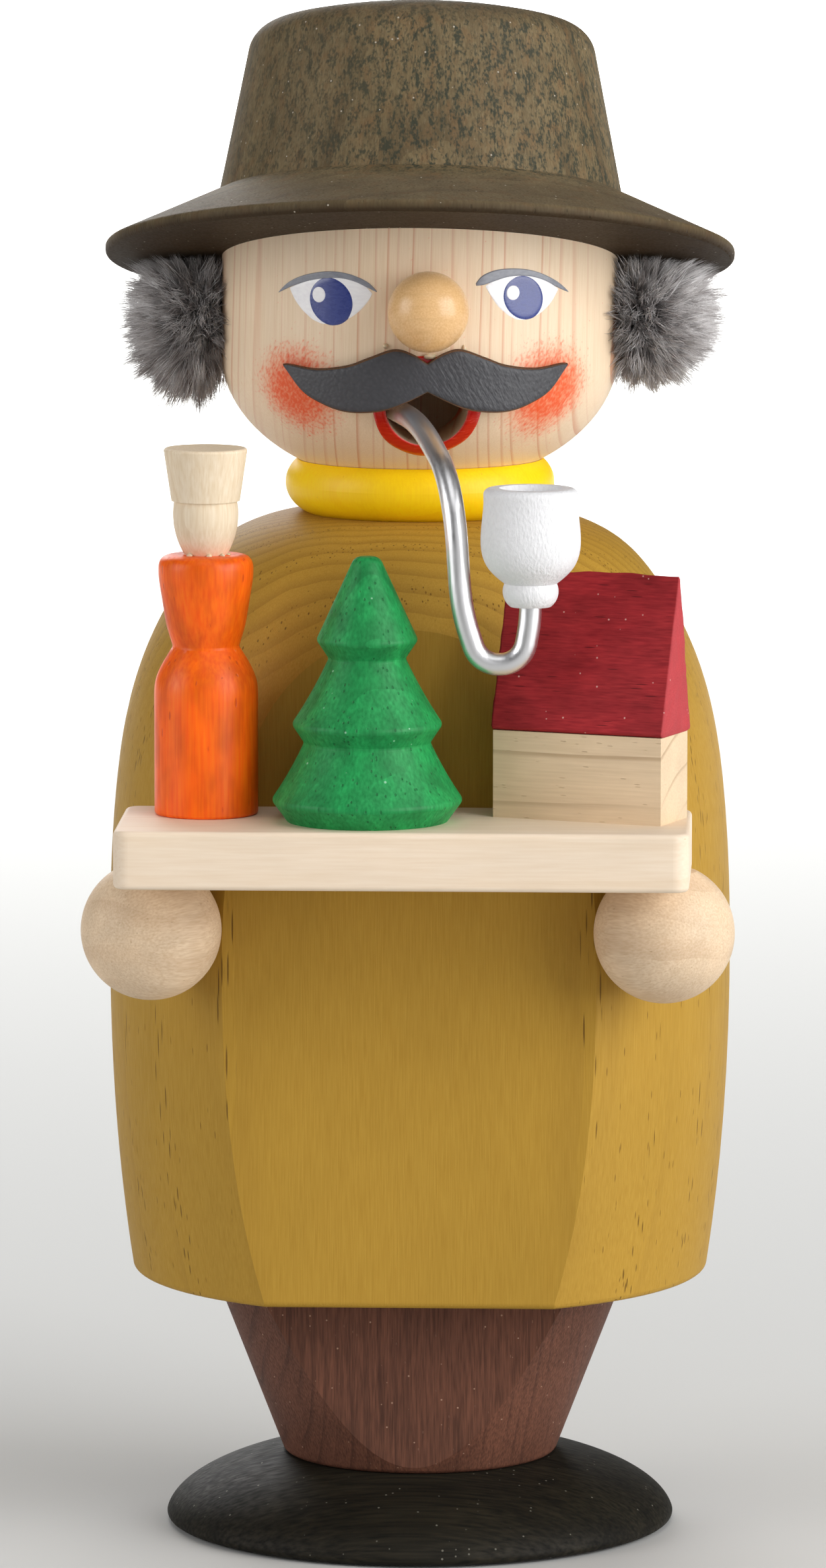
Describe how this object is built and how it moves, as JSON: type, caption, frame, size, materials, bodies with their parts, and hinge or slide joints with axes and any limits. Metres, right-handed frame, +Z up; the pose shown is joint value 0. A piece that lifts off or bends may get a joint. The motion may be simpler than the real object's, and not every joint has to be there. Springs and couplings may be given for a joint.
{
  "type": "german incense smoker",
  "caption": "Turned wooden figure with hat, moustache and pipe that carries a tray of toys; it lifts off a stand where an incense cone burns, and smokes through its mouth.",
  "frame": {"origin": "centre of the base's underside, on the turning axis of base, legs and robe", "axes": "+Z up along the turning axis, the front with the tray looks along -Y, +X to the viewer's right"},
  "size_m": [0.0584, 0.0692, 0.1406],
  "materials": {
    "base_stain": "matt black-green stain",
    "legs_stain": "matt red-brown stain",
    "plate_metal": "pressed sheet, satin",
    "tack_metal": "plain",
    "robe_stain": "matt ochre stain on open-pored wood",
    "collar_paint": "satin yellow paint on wood",
    "natural_wood": "clear matt lacquer on pale wood",
    "nose_wood": "gloss lacquer on pale wood",
    "moustache_leather": "fine grain, dark grey, brown cut edges",
    "hair_fur": "grey synthetic fur",
    "hat_stain": "matt grey-brown stain on open-pored wood",
    "dowel_wood": "plain beech",
    "tray_wood": "clear matt lacquer on pale wood",
    "gown_stain": "orange stain",
    "tree_stain": "green stain",
    "roof_stain": "dark red stain on sawn wood",
    "wall_wood": "plain sawn wood",
    "wire_metal": "bright drawn wire",
    "bowl_paint": "thin white paint on wood"
  },
  "bodies": {
    "stand": {"base": "base_stain", "legs": "legs_stain", "burner_plate": "plate_metal", "burner_tack": "tack_metal"},
    "figure": {"robe": "robe_stain", "collar": "collar_paint", "head": "natural_wood", "nose": "nose_wood", "moustache": "moustache_leather", "hair": "hair_fur", "hat": "hat_stain", "hat_dowel": "dowel_wood", "hand_left": "natural_wood", "hand_right": "natural_wood", "hand_peg_left": "dowel_wood", "hand_peg_right": "dowel_wood", "tray": "tray_wood", "tray_dowels": "dowel_wood", "figure_gown": "gown_stain", "figure_head": "natural_wood", "tree": "tree_stain", "house_walls": "wall_wood", "house_roof": "roof_stain", "pipe_stem": "wire_metal", "pipe_bowl": "bowl_paint"}
  },
  "joints": [
    {"name": "figure_lift", "type": "slide", "parent": "stand", "child": "figure", "axis": [0, 0, 1], "range_m": [0, 0.02]}
  ]
}
